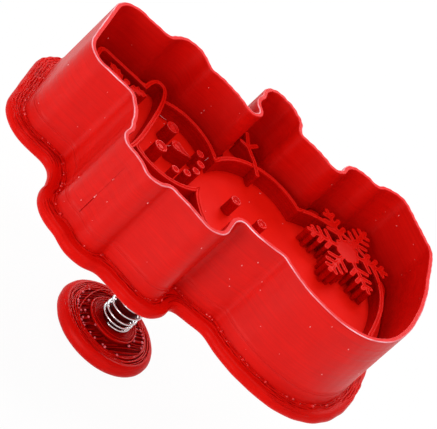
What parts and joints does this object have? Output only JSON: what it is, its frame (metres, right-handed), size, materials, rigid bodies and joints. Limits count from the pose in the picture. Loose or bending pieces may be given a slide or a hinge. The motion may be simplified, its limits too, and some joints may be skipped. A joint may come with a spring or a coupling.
{
  "type": "plunger cookie cutter",
  "caption": "Snowman cookie cutter: a thin cutting wall round a sliding stamp with raised lines, pressed by a round knob on a rod with a return spring.",
  "frame": {"origin": "middle of the knob's flat face, on the axis of the plunger's rod", "axes": "+Z along the rod from the knob to the cutting edge, +Y towards the hat, +X towards the side with the snowflake"},
  "size_m": [0.0757, 0.1027, 0.0615],
  "materials": {
    "red_plastic": "satin, printed in fine layers",
    "spring_steel": "bright drawn wire"
  },
  "bodies": {
    "cutter": {"back_plate": "red_plastic", "cutter_wall": "red_plastic", "return_spring": "spring_steel"},
    "plunger": {"stamp_plate": "red_plastic", "hat_outline": "red_plastic", "hat_holly": "red_plastic", "head_outline": "red_plastic", "torso_outline": "red_plastic", "base_outline": "red_plastic", "eyes": "red_plastic", "carrot_nose": "red_plastic", "mouth_coals": "red_plastic", "buttons": "red_plastic", "right_twig_arm": "red_plastic", "left_twig_arm": "red_plastic", "snowflake": "red_plastic", "plunger_rod": "red_plastic", "knob": "red_plastic"}
  },
  "joints": [
    {"name": "plunger_press", "type": "slide", "parent": "cutter", "child": "plunger", "axis": [0, 0, 1], "range_m": [0, 0.011], "stiffness_N_per_m": 500, "springref_m": -0.006, "deforming": ["return_spring"]}
  ]
}
